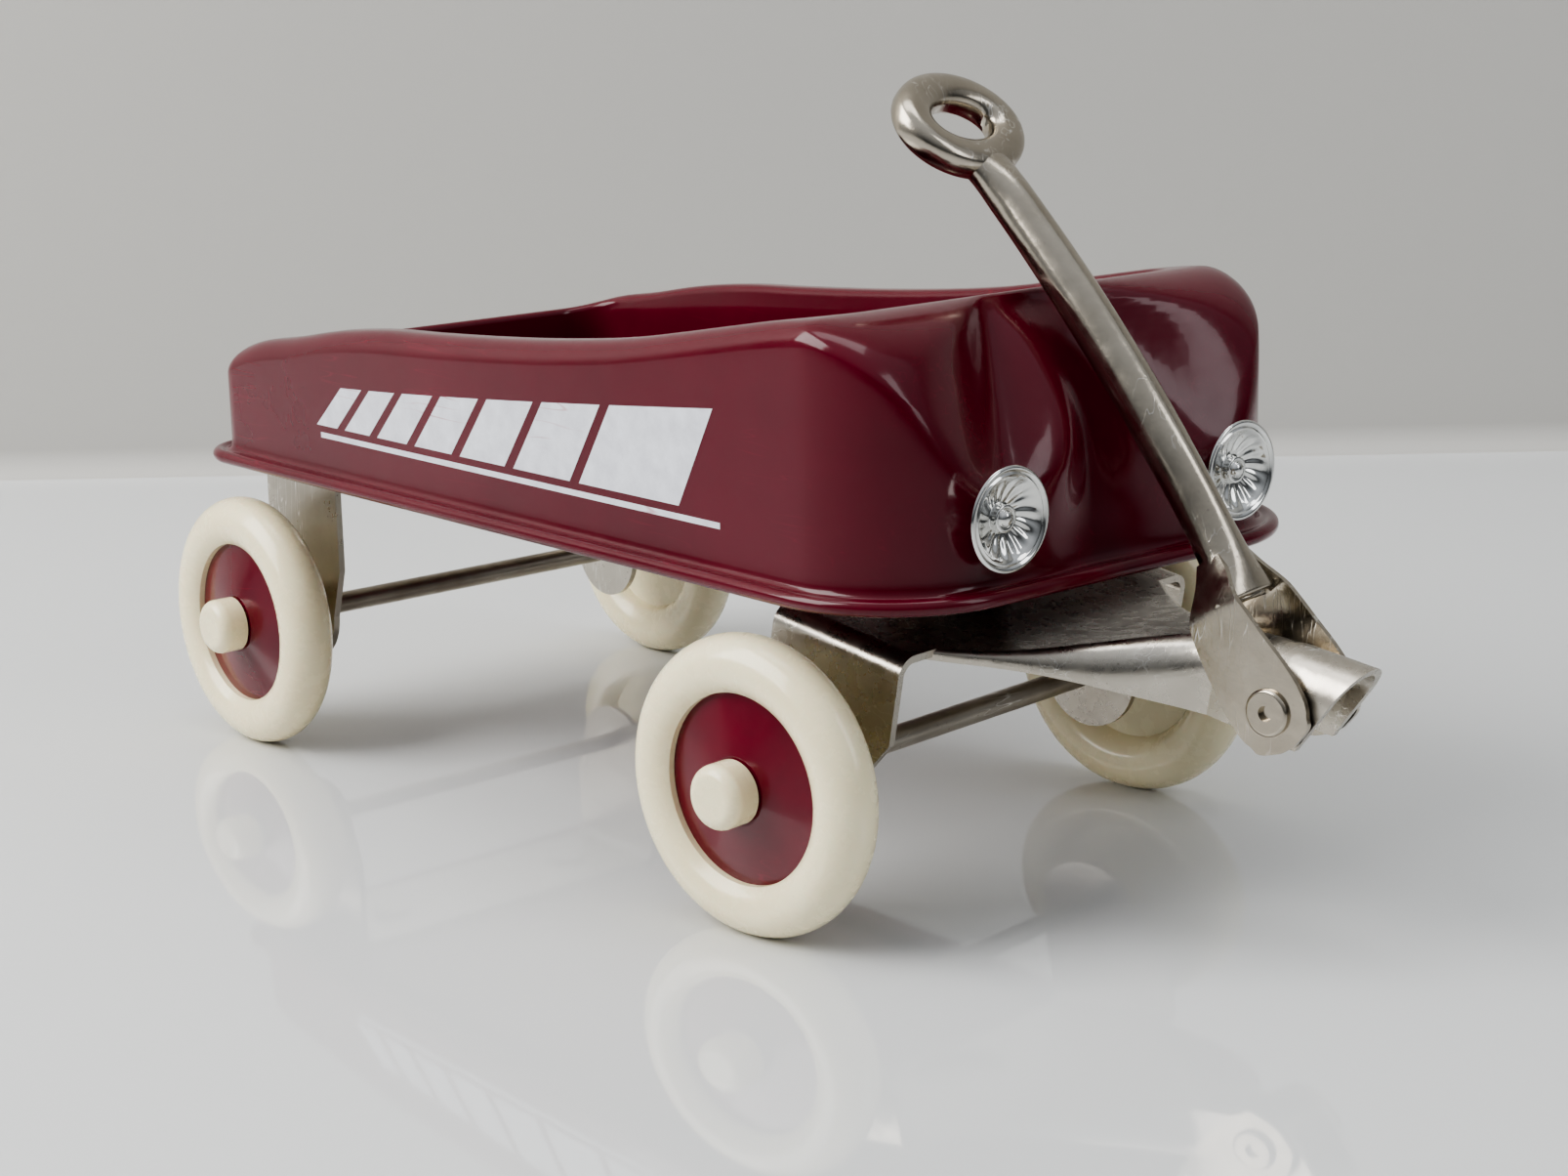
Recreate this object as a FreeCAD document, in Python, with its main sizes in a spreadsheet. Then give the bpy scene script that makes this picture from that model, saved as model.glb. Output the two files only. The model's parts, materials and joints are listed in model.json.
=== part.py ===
import FreeCAD, Part
import math
import os
from FreeCAD import Placement, Rotation, Vector

# A miniature pressed-steel wagon: +X is forward, +Y is left, z = 0 is the ground.
# Lengths are in millimetres and angles in degrees.

doc = FreeCAD.newDocument("pull_wagon")
sheet = doc.addObject("Spreadsheet::Sheet", "Sizes")

SIZES = {
    # layout
    "origin_to_rear_axle": 78.33,
    "wheelbase": 113.8,
    "track": 78.2,
    "steer_at_rest": 6.0,
    "steer_swing": 20.0,
    "recess_margin": 10.0,
    # wheels
    "tyre_outer_radius": 19.0,
    "tyre_section_radius": 3.9,
    "web_thickness": 1.4,
    "disc_radius": 12.1,
    "disc_seat": 0.6,
    "disc_edge": 1.0,
    "disc_rise": 1.5,
    "disc_hub_radius": 4.4,
    "hub_radius": 3.6,
    "cap_radius": 4.1,
    "cap_length": 4.3,
    "cap_round": 1.6,
    "cap_wall": 1.2,
    "axle_radius": 1.6,
    "running_clearance": 0.05,
    "end_float": 0.3,
    "washer_radius": 3.2,
    "washer_thickness": 0.8,
    # bed
    "bed_rear_overhang": 10.5,
    "bed_front_overhang": 26.8,
    "bed_half_width": 37.4,
    "flange_width": 3.0,
    "flange_height": 42.7,
    "bead_thickness": 2.0,
    "sheet_thickness": 1.0,
    "bed_front_corner": 15.5,
    "bed_rear_corner": 6.0,
    "rear_rim_height": 58.2,
    "saddle_height": 66.4,
    "crest_height": 76.4,
    "rim_round": 3.0,
    "rim_width": 6.0,
    "hood_depth": 17.0,
    "tub_corner": 7.0,
    "floor_height": 44.4,
    # headlights
    "lamp_spacing": 41.3,
    "lamp_height": 53.1,
    "lamp_radius": 6.4,
    "lamp_depth": 2.8,
    "lamp_neck_radius": 2.6,
    "lamp_stem_radius": 1.3,
    "lamp_stem_length": 5.0,
    "lamp_wall": 0.7,
    "lamp_bulb_radius": 1.2,
    "clip_radius": 2.6,
    "clip_thickness": 0.6,
    "clip_gap": 0.15,
    # brackets
    "leg_outer_half_width": 29.5,
    "leg_end_radius": 7.6,
    "bend_radius": 2.6,
    "rear_bracket_length": 19.8,
    "bracket_pitch": 10.3,
    "fork_height": 19.0,
    "fork_rear": 8.4,
    "fork_front": 12.4,
    "kingpin_radius": 2.0,
    "kingpin_head_radius": 4.2,
    "kingpin_head_height": 1.4,
    "steering_washer_radius": 7.0,
    "steering_washer_thickness": 1.2,
    "clinch_washer_radius": 4.6,
    "clinch_washer_thickness": 0.8,
    "pad_radius": 7.5,
    "rivet_radius": 1.5,
    "rivet_head_radius": 3.0,
    "rivet_head_height": 0.9,
    "rear_rivet_spacing": 36.0,
    # tongue and hinge, measured from the front axle along and square to the fork
    "nose_half_width": 4.6,
    "nose_top": 27.8,
    "nose_bottom": 16.4,
    "nose_reach": 58.6,
    "nose_rake": 26.0,
    "hinge_reach": 48.9,
    "hinge_height": 20.3,
    "hinge_radius": 1.6,
    "hinge_head_radius": 2.9,
    "hinge_head_height": 0.7,
    # handle
    "lug_gap": 0.4,
    "lug_radius": 5.5,
    "lug_length": 12.5,
    "lug_front_taper": 12.0,
    "shoulder_end": 20.0,
    "handle_sheet": 0.8,
    "shaft_radius": 3.0,
    "shaft_mouth": 14.2,
    "shaft_start": 19.0,
    "shaft_bend": 12.0,
    "shaft_bend_radius": 275.0,
    "handle_angle": 122.9,
    "seam_width": 1.6,
    "grip_half_width": 10.4,
    "grip_half_length": 8.2,
    "grip_hole_half_width": 5.4,
    "grip_hole_half_length": 3.0,
    "grip_depth": 4.6,
    "grip_round": 1.9,
    "grip_overlap": 1.2,
    "hood_clearance": 0.5,
}

for row, (alias, value) in enumerate(SIZES.items(), start=1):
    sheet.set("A%d" % row, alias)
    sheet.set("B%d" % row, str(value))
    sheet.setAlias("B%d" % row, alias)
doc.recompute()


def size(alias):
    return float(sheet.get(alias))


wheel_centre_height = size("tyre_outer_radius")
rear_axle_x = -size("origin_to_rear_axle")
front_axle_x = rear_axle_x + size("wheelbase")
sheet_t = size("sheet_thickness")
steer_rest = size("steer_at_rest")
half_track = size("track") / 2
UP = Vector(0, 0, 1)
SIDE = Vector(0, 1, 0)
FORWARD = Vector(1, 0, 0)


# ---------------------------------------------------------------- placements

def steered(placement):
    """Turn a placement about the upright kingpin, which stands over the front axle."""
    turn = Rotation(UP, steer_rest)
    return Placement(Vector(), turn, Vector(front_axle_x, 0, 0)).multiply(placement)


def fork_placement():
    """The fork's own frame: origin on the front axle, pitched nose down."""
    base = Placement(Vector(front_axle_x, 0, wheel_centre_height),
                     Rotation(SIDE, size("bracket_pitch")))
    return steered(base)


def wheel_placement(axle_x, side, is_front):
    """Local +Z points outwards along the axle, from the middle of the tyre."""
    base = Placement(Vector(axle_x, side * half_track, wheel_centre_height),
                     Rotation(FORWARD, -90 * side))
    return steered(base) if is_front else base


def axle_placement(axle_x, is_front):
    base = Placement(Vector(axle_x, 0, wheel_centre_height), Rotation(FORWARD, -90))
    return steered(base) if is_front else base


# ------------------------------------------------------- primitives on the sheet

def bound(obj, **expressions):
    for prop, expression in expressions.items():
        obj.setExpression(prop, expression)
    return obj


def cylinder(name, radius, height, start="0"):
    obj = doc.addObject("Part::Cylinder", name)
    bound(obj, Radius=radius, Height=height)
    obj.setExpression(".Placement.Base.z", start)
    return obj


def cone(name, radius_1, radius_2, height, start="0"):
    obj = doc.addObject("Part::Cone", name)
    bound(obj, Radius1=radius_1, Radius2=radius_2, Height=height)
    obj.setExpression(".Placement.Base.z", start)
    return obj


def fused(name, *shapes):
    obj = doc.addObject("Part::MultiFuse", name)
    obj.Shapes = list(shapes)
    return obj


def cut(name, base, tool):
    obj = doc.addObject("Part::Cut", name)
    obj.Base = base
    obj.Tool = tool
    return obj


SUBPARTS = []


def subpart(obj, label, placement):
    obj.Label = label
    obj.Placement = placement
    SUBPARTS.append(obj)
    return obj


def shaped(label, shape, placement=None):
    obj = doc.addObject("Part::Feature", label)
    obj.Shape = shape
    return subpart(obj, label, placement or Placement())


# --------------------------------------------------------------------- wheels

BORE = "Sizes.axle_radius + Sizes.running_clearance"
WASHER_FACE = "(Sizes.leg_outer_half_width + Sizes.washer_thickness + Sizes.end_float)"
HUB_START = "%s - Sizes.track / 2" % WASHER_FACE
DISC_FACE = "(Sizes.disc_seat + Sizes.disc_edge + Sizes.disc_rise)"
disc_face = size("disc_seat") + size("disc_edge") + size("disc_rise")


def make_tyre(label, placement):
    """Tyre, web and hub in one moulding, with a seat for the coloured disc."""
    tyre = doc.addObject("Part::Torus", label + "_ring")
    bound(tyre, Radius1="Sizes.tyre_outer_radius - Sizes.tyre_section_radius",
          Radius2="Sizes.tyre_section_radius")
    web = cylinder(label + "_web", "Sizes.disc_radius", "Sizes.web_thickness",
                   "Sizes.disc_seat - Sizes.web_thickness")
    hub = cylinder(label + "_hub", "Sizes.hub_radius",
                   "Sizes.disc_seat - (%s)" % HUB_START, HUB_START)
    seat = cylinder(label + "_seat", "Sizes.disc_radius", "Sizes.tyre_section_radius",
                    "Sizes.disc_seat")
    bore = cylinder(label + "_bore", BORE, "Sizes.track", "-Sizes.track / 2")
    body = fused(label + "_body", tyre, web, hub)
    seated = cut(label + "_seated", body, seat)
    subpart(cut(label + "_moulding", seated, bore), label, placement)


def make_disc(label, placement):
    edge = cylinder(label + "_edge", "Sizes.disc_radius", "Sizes.disc_edge", "Sizes.disc_seat")
    rise = cone(label + "_rise", "Sizes.disc_radius", "Sizes.disc_hub_radius", "Sizes.disc_rise",
                "Sizes.disc_seat + Sizes.disc_edge")
    bore = cylinder(label + "_bore", BORE, "Sizes.track", "-Sizes.track / 2")
    subpart(cut(label + "_cone", fused(label + "_body", edge, rise), bore), label, placement)


def make_cap(label, placement):
    """The cap is pressed on the end of the axle and keeps the wheel on."""
    start = disc_face + size("end_float")
    length = size("cap_length")
    body = Part.makeCylinder(size("cap_radius"), length, Vector(0, 0, start))
    outer_edge = [edge for edge in body.Edges if edge.BoundBox.ZMin > start + length / 2]
    body = body.makeFillet(size("cap_round"), outer_edge)
    socket = Part.makeCylinder(size("axle_radius"), length - size("cap_wall"), Vector(0, 0, start))
    shaped(label, body.cut(socket), placement)


def make_washer(label, placement):
    ring = cylinder(label + "_ring", "Sizes.washer_radius", "Sizes.washer_thickness",
                    "Sizes.leg_outer_half_width - Sizes.track / 2")
    bore = cylinder(label + "_bore", "Sizes.axle_radius", "Sizes.track", "-Sizes.track / 2")
    subpart(cut(label + "_plate", ring, bore), label, placement)


AXLE_REACH = "(Sizes.track / 2 + %s + Sizes.end_float + Sizes.cap_length - Sizes.cap_wall)" % DISC_FACE

for end, axle_x, is_front in (("front", front_axle_x, True), ("rear", rear_axle_x, False)):
    rod = cylinder(end + "_axle", "Sizes.axle_radius", "2 * %s" % AXLE_REACH)
    rod.setExpression(".Placement.Base.z", None)
    doc.recompute()
    reach = rod.Height.Value / 2
    middle = axle_placement(axle_x, is_front)
    subpart(rod, end + "_axle", middle.multiply(Placement(Vector(0, 0, -reach), Rotation())))
    for hand, side in (("left", 1), ("right", -1)):
        place = wheel_placement(axle_x, side, is_front)
        corner = "%s_%s" % (end, hand)
        make_tyre(corner + "_tyre", place)
        make_disc(corner + "_wheel_disc", place)
        make_cap(corner + "_hub_cap", place)
        make_washer(corner + "_axle_washer", place)


# ------------------------------------------------------------------------ bed

bed_rear = rear_axle_x - size("bed_rear_overhang")
bed_front = front_axle_x + size("bed_front_overhang")
bed_half = size("bed_half_width")
floor_top = size("floor_height")
flange_z = size("flange_height")
front_seam_x = bed_front - size("bed_front_corner")
lamp_y = size("lamp_spacing") / 2
HIGH = 200.0
ROLL_OVERSHOOT = 0.02
pitch = math.radians(size("bracket_pitch"))
hinge_ahead = size("hinge_reach") * math.cos(pitch) + size("hinge_height") * math.sin(pitch)
hinge_z = wheel_centre_height - size("hinge_reach") * math.sin(pitch) + size("hinge_height") * math.cos(pitch)


def rounded_plan(x_rear, x_front, half, rear_corner, front_corner, z):
    """A closed outline with rounded corners, larger at the front."""
    def arc(cx, cy, radius, middle_angle):
        points = []
        for angle in (middle_angle - 45, middle_angle, middle_angle + 45):
            turn = math.radians(angle)
            points.append(Vector(cx + radius * math.cos(turn), cy + radius * math.sin(turn), z))
        return Part.Arc(*points).toShape()

    front = arc(x_front - front_corner, half - front_corner, front_corner, 45)
    rear = arc(x_rear + rear_corner, half - rear_corner, rear_corner, 135)
    rear_right = arc(x_rear + rear_corner, -half + rear_corner, rear_corner, 225)
    front_right = arc(x_front - front_corner, -half + front_corner, front_corner, 315)
    arcs = [front, rear, rear_right, front_right]
    edges = []
    for index, edge in enumerate(arcs):
        following = arcs[(index + 1) % len(arcs)]
        edges.append(edge)
        edges.append(Part.makeLine(edge.lastVertex(True).Point, following.firstVertex(True).Point))
    return Part.Wire(edges)


def bed_plan(inset, z):
    return rounded_plan(bed_rear + inset, bed_front - inset, bed_half - inset,
                        max(size("bed_rear_corner") - inset, 0.5),
                        max(size("bed_front_corner") - inset, 0.5), z)


def tub_plan(grow, z):
    corner = size("tub_corner") + grow
    return rounded_plan(bed_rear + size("rim_width") - grow,
                        bed_front - size("hood_depth") + grow,
                        bed_half - size("rim_width") + grow, corner, corner, z)


def extruded(wire, height):
    return Part.Face(wire).extrude(Vector(0, 0, height))


def side_profile(drop, bottom):
    """Side view of the bed: low at the rear, a gentle saddle, and a hood that rolls over."""
    crest = size("crest_height") - drop
    rear_top = size("rear_rim_height") - drop
    saddle = size("saddle_height") - drop
    rear_end = bed_rear - 1
    front_end = bed_front + 1
    span = front_seam_x - bed_rear
    rim = [
        Vector(rear_end, 0, rear_top),
        Vector(bed_rear + 0.14 * span, 0, rear_top + 0.52 * (saddle - rear_top)),
        Vector(bed_rear + 0.34 * span, 0, saddle),
        Vector(bed_rear + 0.54 * span, 0, saddle + 0.16 * (crest - saddle)),
        Vector(bed_rear + 0.76 * span, 0, saddle + 0.48 * (crest - saddle)),
        Vector(front_seam_x, 0, crest),
    ]
    curve = Part.BSplineCurve()
    curve.interpolate(rim)
    roll = size("bed_front_corner")
    roll_low = Vector(bed_front + ROLL_OVERSHOOT, 0, crest - 1.2 * roll)
    roll_middle = Vector(front_seam_x + 0.72 * roll, 0, crest - 0.30 * roll)
    front_top = Vector(front_end, 0, roll_low.z)
    front_low = Vector(front_end, 0, bottom)
    rear_low = Vector(rear_end, 0, bottom)
    edges = [
        curve.toShape(),
        Part.Arc(rim[-1], roll_middle, roll_low).toShape(),
        Part.makeLine(roll_low, front_top),
        Part.makeLine(front_top, front_low),
        Part.makeLine(front_low, rear_low),
        Part.makeLine(rear_low, rim[0]),
    ]
    return Part.Face(Part.Wire(edges))


def bed_block(inset, bottom):
    """The outside of the bed with a rounded rim, or the same shape set in by the sheet."""
    plan = extruded(bed_plan(inset, bottom), HIGH)
    profile = side_profile(inset, bottom)
    profile.translate(Vector(0, -HIGH / 2, 0))
    block = plan.common(profile.extrude(Vector(0, HIGH, 0)))
    return block.makeFillet(size("rim_round") - inset, rim_edges(block, bottom))


def rim_edges(block, bottom):
    """Every edge where the top surfaces meet the sides."""
    middle_seam = front_seam_x
    edges = []
    for edge in block.Edges:
        box = edge.BoundBox
        upright = box.XLength + box.YLength < 0.01
        seam = box.XLength < 0.01 and abs(box.XMin - middle_seam) < 0.01
        if box.ZMin > bottom + 5 and not upright and not seam:
            edges.append(edge)
    return edges


def handle_point(turn, offset):
    """A point in the upright plane of the handle: distance ahead of the kingpin, and height."""
    bend = size("shaft_bend_radius")
    along = size("shaft_start") + (bend + offset) * math.sin(turn)
    across = (bend + offset) * math.cos(turn) - bend
    lean = math.radians(size("handle_angle"))
    ahead = hinge_ahead + along * math.cos(lean) + across * math.sin(lean)
    height = hinge_z + along * math.sin(lean) - across * math.cos(lean)
    return Vector(front_axle_x + ahead, 0, height)


def hood_recess(inset):
    """The space that the raised handle sweeps over the hood as the wagon steers."""
    offset = -size("shaft_radius") - size("hood_clearance") - inset
    bend_turn = math.radians(size("shaft_bend"))
    low, middle, high = [handle_point(turn, offset) for turn in (0, bend_turn / 2, bend_turn)]
    outside = bed_front + HIGH / 4
    far_low = Vector(outside, 0, low.z)
    far_high = Vector(outside, 0, high.z)
    edges = [
        Part.Arc(low, middle, high).toShape(),
        Part.makeLine(high, far_high),
        Part.makeLine(far_high, far_low),
        Part.makeLine(far_low, low),
    ]
    half_turn = size("steer_swing") + size("recess_margin")
    face = Part.Face(Part.Wire(edges))
    face.rotate(Vector(front_axle_x, 0, 0), UP, -half_turn)
    return face.revolve(Vector(front_axle_x, 0, 0), UP, 2 * half_turn)




def plan_ring(outset, inset, z, thickness):
    outer = extruded(bed_plan(-outset, z), thickness)
    inner = extruded(bed_plan(inset, z - 1), thickness + 2)
    return outer.cut(inner)


# The hidden underside of the outer wall starts at the flange's web, level with the floor plate.
web_z = floor_top - sheet_t


def make_bed_shell():
    outside = bed_block(0, web_z).cut(hood_recess(0))
    inside = bed_block(sheet_t, web_z - 1).cut(hood_recess(sheet_t))
    tub_outside = extruded(tub_plan(sheet_t, floor_top), HIGH)
    tub_inside = extruded(tub_plan(0, web_z - 1), HIGH)
    shell = outside.cut(inside.cut(tub_outside)).cut(tub_inside)
    bead = extruded(bed_plan(-size("flange_width"), flange_z), size("bead_thickness"))
    bead = bead.makeFillet(size("bead_thickness") * 0.45, bead.Edges)
    bead = bead.cut(extruded(bed_plan(-size("flange_width") / 3, flange_z - 1), HIGH))
    web = plan_ring(size("flange_width") / 2, sheet_t, web_z, sheet_t)
    shell = shell.fuse([bead, web])
    for side in (-1, 1):
        hole = Part.makeCylinder(size("lamp_stem_radius"), 3 * sheet_t,
                                 Vector(bed_front - 2 * sheet_t, side * lamp_y, size("lamp_height")), FORWARD)
        shell = shell.cut(hole)
    return shell.removeSplitter()


shaped("bed_shell", make_bed_shell())


def make_bed_floor():
    floor = extruded(tub_plan(sheet_t, web_z), sheet_t)
    holes = [Vector(front_axle_x, 0, web_z - 1)]
    radii = [size("kingpin_radius")]
    for side in (-1, 1):
        holes.append(Vector(rear_axle_x, side * size("rear_rivet_spacing") / 2, web_z - 1))
        radii.append(size("rivet_radius"))
    for place, radius in zip(holes, radii):
        floor = floor.cut(Part.makeCylinder(radius, 3 * sheet_t, place))
    return floor


shaped("bed_floor", make_bed_floor())


# ----------------------------------------------------------------- headlights

def lamp_placement(side):
    """Local +Z points forward out of the hood, from the face the lamp seats on."""
    return Placement(Vector(bed_front, side * lamp_y, size("lamp_height")), Rotation(SIDE, 90))


def make_headlight(label, placement):
    """A plated dish with a bulb shape in the middle and a stem through the hood."""
    dish = cone(label + "_dish", "Sizes.lamp_neck_radius", "Sizes.lamp_radius", "Sizes.lamp_depth")
    hollow = cone(label + "_hollow", "Sizes.lamp_neck_radius - Sizes.lamp_wall",
                  "Sizes.lamp_radius - Sizes.lamp_wall / 2", "Sizes.lamp_depth - Sizes.lamp_wall",
                  "Sizes.lamp_wall")
    open_dish = cut(label + "_open", dish, hollow)
    bulb = cylinder(label + "_bulb", "Sizes.lamp_bulb_radius",
                    "Sizes.lamp_depth - Sizes.lamp_wall")
    tip = doc.addObject("Part::Sphere", label + "_tip")
    bound(tip, Radius="Sizes.lamp_bulb_radius")
    tip.setExpression(".Placement.Base.z", "Sizes.lamp_depth - Sizes.lamp_wall")
    stem = cylinder(label + "_stem", "Sizes.lamp_stem_radius", "Sizes.lamp_stem_length",
                    "-Sizes.lamp_stem_length")
    subpart(fused(label + "_body", open_dish, bulb, tip, stem), label, placement)


def make_clip(label, placement):
    """A push-on clip that grips the lamp's stem behind the hood."""
    plate = cylinder(label + "_plate", "Sizes.clip_radius", "Sizes.clip_thickness",
                     "-Sizes.sheet_thickness - Sizes.clip_gap - Sizes.clip_thickness")
    bore = cylinder(label + "_bore", "Sizes.lamp_stem_radius", "Sizes.lamp_stem_length",
                    "-Sizes.lamp_stem_length")
    subpart(cut(label + "_ring", plate, bore), label, placement)


for hand, side in (("left", 1), ("right", -1)):
    make_headlight("headlight_" + hand, lamp_placement(side))
    make_clip("headlight_clip_" + hand, lamp_placement(side))


# ------------------------------------------------------------------- brackets

def box(x_low, x_high, y_low, y_high, z_low, z_high):
    return Part.makeBox(x_high - x_low, y_high - y_low, z_high - z_low, Vector(x_low, y_low, z_low))


def channel(x_low, x_high, top, bottom):
    """A strip bent into a U with its legs hanging down."""
    half = size("leg_outer_half_width")
    bend = size("bend_radius")
    outer = box(x_low, x_high, -half, half, bottom, top)
    inner_half = half - sheet_t
    inner = box(x_low - 1, x_high + 1, -inner_half, inner_half, bottom - 1, top - sheet_t)

    def upper_edges(solid, level, y_edge):
        return [edge for edge in solid.Edges
                if edge.BoundBox.XLength > 1 and abs(edge.BoundBox.ZMin - level) < 0.01
                and abs(abs(edge.BoundBox.YMin) - y_edge) < 0.01]

    outer = outer.makeFillet(bend, upper_edges(outer, top, half))
    inner = inner.makeFillet(bend - sheet_t, upper_edges(inner, top - sheet_t, inner_half))
    return outer.cut(inner)


def leg_outline(x_low, x_high, top, shoulder):
    """Side view of a leg: square above the shoulder, then drawn in to a round end."""
    end = size("leg_end_radius")
    half = size("leg_outer_half_width") + 1
    points = [Vector(x_low, -half, top), Vector(x_high, -half, top), Vector(x_high, -half, shoulder),
              Vector(end, -half, 0), Vector(-end, -half, 0), Vector(x_low, -half, shoulder)]
    upper = Part.Face(Part.makePolygon(points + points[:1])).extrude(Vector(0, 2 * half, 0))
    lower = Part.makeCylinder(end, 2 * half, Vector(0, -half, 0), SIDE)
    return upper.fuse(lower)


def axle_hole():
    half = size("leg_outer_half_width") + 1
    return Part.makeCylinder(size("axle_radius"), 2 * half, Vector(0, -half, 0), SIDE)


def make_rear_bracket():
    half = size("rear_bracket_length") / 2
    top = web_z - wheel_centre_height
    end = size("leg_end_radius")
    bracket = channel(-half, half, top, -end).common(leg_outline(-half, half, top, end))
    for side in (-1, 1):
        place = Vector(0, side * size("rear_rivet_spacing") / 2, top - 2 * sheet_t)
        bracket = bracket.cut(Part.makeCylinder(size("rivet_radius"), 3 * sheet_t, place))
    return bracket.cut(axle_hole())


shaped("rear_bracket", make_rear_bracket(),
       Placement(Vector(rear_axle_x, 0, wheel_centre_height), Rotation()))


def tongue_section(reach, half, corner, top, bottom):
    """One cross-section of the tongue: an upside-down U whose corners may be fully round."""
    low_left = Vector(reach, -half, bottom)
    side_left = Vector(reach, -half, top - corner)
    top_left = Vector(reach, -half + corner, top)
    slope = corner * math.sqrt(0.5)
    mid_left = Vector(reach, -half + corner - slope, top - corner + slope)

    def mirrored(point):
        return Vector(point.x, -point.y, point.z)

    edges = [
        Part.makeLine(low_left, side_left),
        Part.Arc(side_left, mid_left, top_left).toShape(),
        Part.makeLine(top_left, mirrored(top_left)),
        Part.Arc(mirrored(top_left), mirrored(mid_left), mirrored(side_left)).toShape(),
        Part.makeLine(mirrored(side_left), mirrored(low_left)),
        Part.makeLine(mirrored(low_left), low_left),
    ]
    return Part.Wire(edges)


def make_tongue():
    """The tongue narrows and its sides curl down, from the flat fork to a round nose."""
    root = size("fork_front")
    fork_top = size("fork_height")
    nose_start = size("hinge_reach") - size("lug_length")
    nose_half = size("nose_half_width")
    nose_top = size("nose_top")
    nose_low = size("nose_bottom")
    lip = sheet_t + 0.4
    stretch = nose_start - root
    rise = nose_top - fork_top
    overhang = size("nose_reach") + 6
    root_half = size("leg_outer_half_width") - size("bend_radius") - 3.4
    stations = [
        (root - 3, root_half + 2.0, 0.6, fork_top, fork_top - lip),
        (root, root_half, 0.8, fork_top, fork_top - lip),
        (root + 0.33 * stretch, 0.72 * root_half, 2.0, fork_top + 0.12 * rise, fork_top - lip),
        (root + 0.68 * stretch, 0.48 * root_half, 4.6, fork_top + 0.42 * rise, nose_low + 0.8),
        (nose_start, nose_half + 1.3, 4.8, fork_top + 0.70 * rise, nose_low),
        (nose_start + 3.6, nose_half, nose_half - 0.15, fork_top + 0.86 * rise, nose_low),
        (size("hinge_reach"), nose_half, nose_half - 0.15, nose_top - 0.3, nose_low),
        (overhang, nose_half, nose_half - 0.15, nose_top + 0.2, nose_low),
    ]
    outside = []
    inside = []
    for reach, half, corner, top, bottom in stations:
        outside.append(tongue_section(reach, half, corner, top, bottom))
        inner_corner = max(corner - sheet_t, 0.1)
        inside.append(tongue_section(reach, half - sheet_t, inner_corner, top - sheet_t, bottom - 1))

    def lofted(sections):
        curved = Part.makeLoft(sections[:-2], True, False)
        straight = Part.makeLoft(sections[-3:], True, True)
        return curved.fuse(straight)

    tongue = lofted(outside).cut(lofted(inside))
    rake = math.tan(math.radians(size("nose_rake")))
    top_cut = Vector(size("nose_reach"), -HIGH / 2, nose_top + 1)
    drop = nose_top + 1 - (nose_low - 2)
    low_cut = Vector(size("nose_reach") - drop * rake, -HIGH / 2, nose_low - 2)
    corners = [top_cut, low_cut, Vector(HIGH, -HIGH / 2, low_cut.z), Vector(HIGH, -HIGH / 2, top_cut.z)]
    end_block = Part.Face(Part.makePolygon(corners + corners[:1])).extrude(Vector(0, HIGH, 0))
    return tongue.cut(end_block)


def make_front_bracket():
    """Fork, tongue and a raised level pad around the kingpin, all from one sheet."""
    rear = -size("fork_rear")
    front = size("fork_front")
    top = size("fork_height")
    end = size("leg_end_radius")
    fork = channel(rear, front, top, -end).common(leg_outline(rear, front, top, end))
    fork = fork.fuse(make_tongue())
    to_level = Rotation(SIDE, -size("bracket_pitch"))
    upright = to_level.multVec(UP)

    def kingpin_cylinder(radius, low, high):
        start = upright * (low - wheel_centre_height)
        return Part.makeCylinder(radius, high - low, start, upright)

    pad_in = size("pad_radius") - sheet_t
    fork = fork.cut(kingpin_cylinder(pad_in, wheel_centre_height + end, pad_top + 5))
    hat = kingpin_cylinder(size("pad_radius"), wheel_centre_height + end, pad_top)
    hat = hat.cut(kingpin_cylinder(pad_in, wheel_centre_height, pad_top - sheet_t))
    hat = hat.cut(box(-HIGH, HIGH, -HIGH, HIGH, -HIGH, top - sheet_t))
    bore = kingpin_cylinder(size("kingpin_radius") + size("running_clearance"), 0, HIGH)
    hinge = Part.makeCylinder(size("hinge_radius") + size("running_clearance"), 2 * HIGH,
                              Vector(size("hinge_reach"), -HIGH, size("hinge_height")), SIDE)
    return fork.fuse(hat).cut(bore).cut(axle_hole()).cut(hinge).removeSplitter()


pad_top = web_z - size("steering_washer_thickness") - size("end_float")
shaped("front_bracket", make_front_bracket(), fork_placement())


# --------------------------------------------------------- rivets and washers

def upright_pin(name, parts, bore=None):
    """A turned pin: (radius, low, high) for each step, all on the same upright axis."""
    steps = []
    for index, (radius, low, high) in enumerate(parts):
        step = doc.addObject("Part::Cylinder", "%s_step_%d" % (name, index))
        step.Radius = radius
        step.Height = high - low
        step.Placement.Base.z = low
        steps.append(step)
    pin = fused(name + "_pin", *steps) if len(steps) > 1 else steps[0]
    if bore is None:
        return pin
    hole = doc.addObject("Part::Cylinder", name + "_bore")
    hole.Radius = bore
    hole.Height = HIGH
    return cut(name + "_ring", pin, hole)


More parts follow.
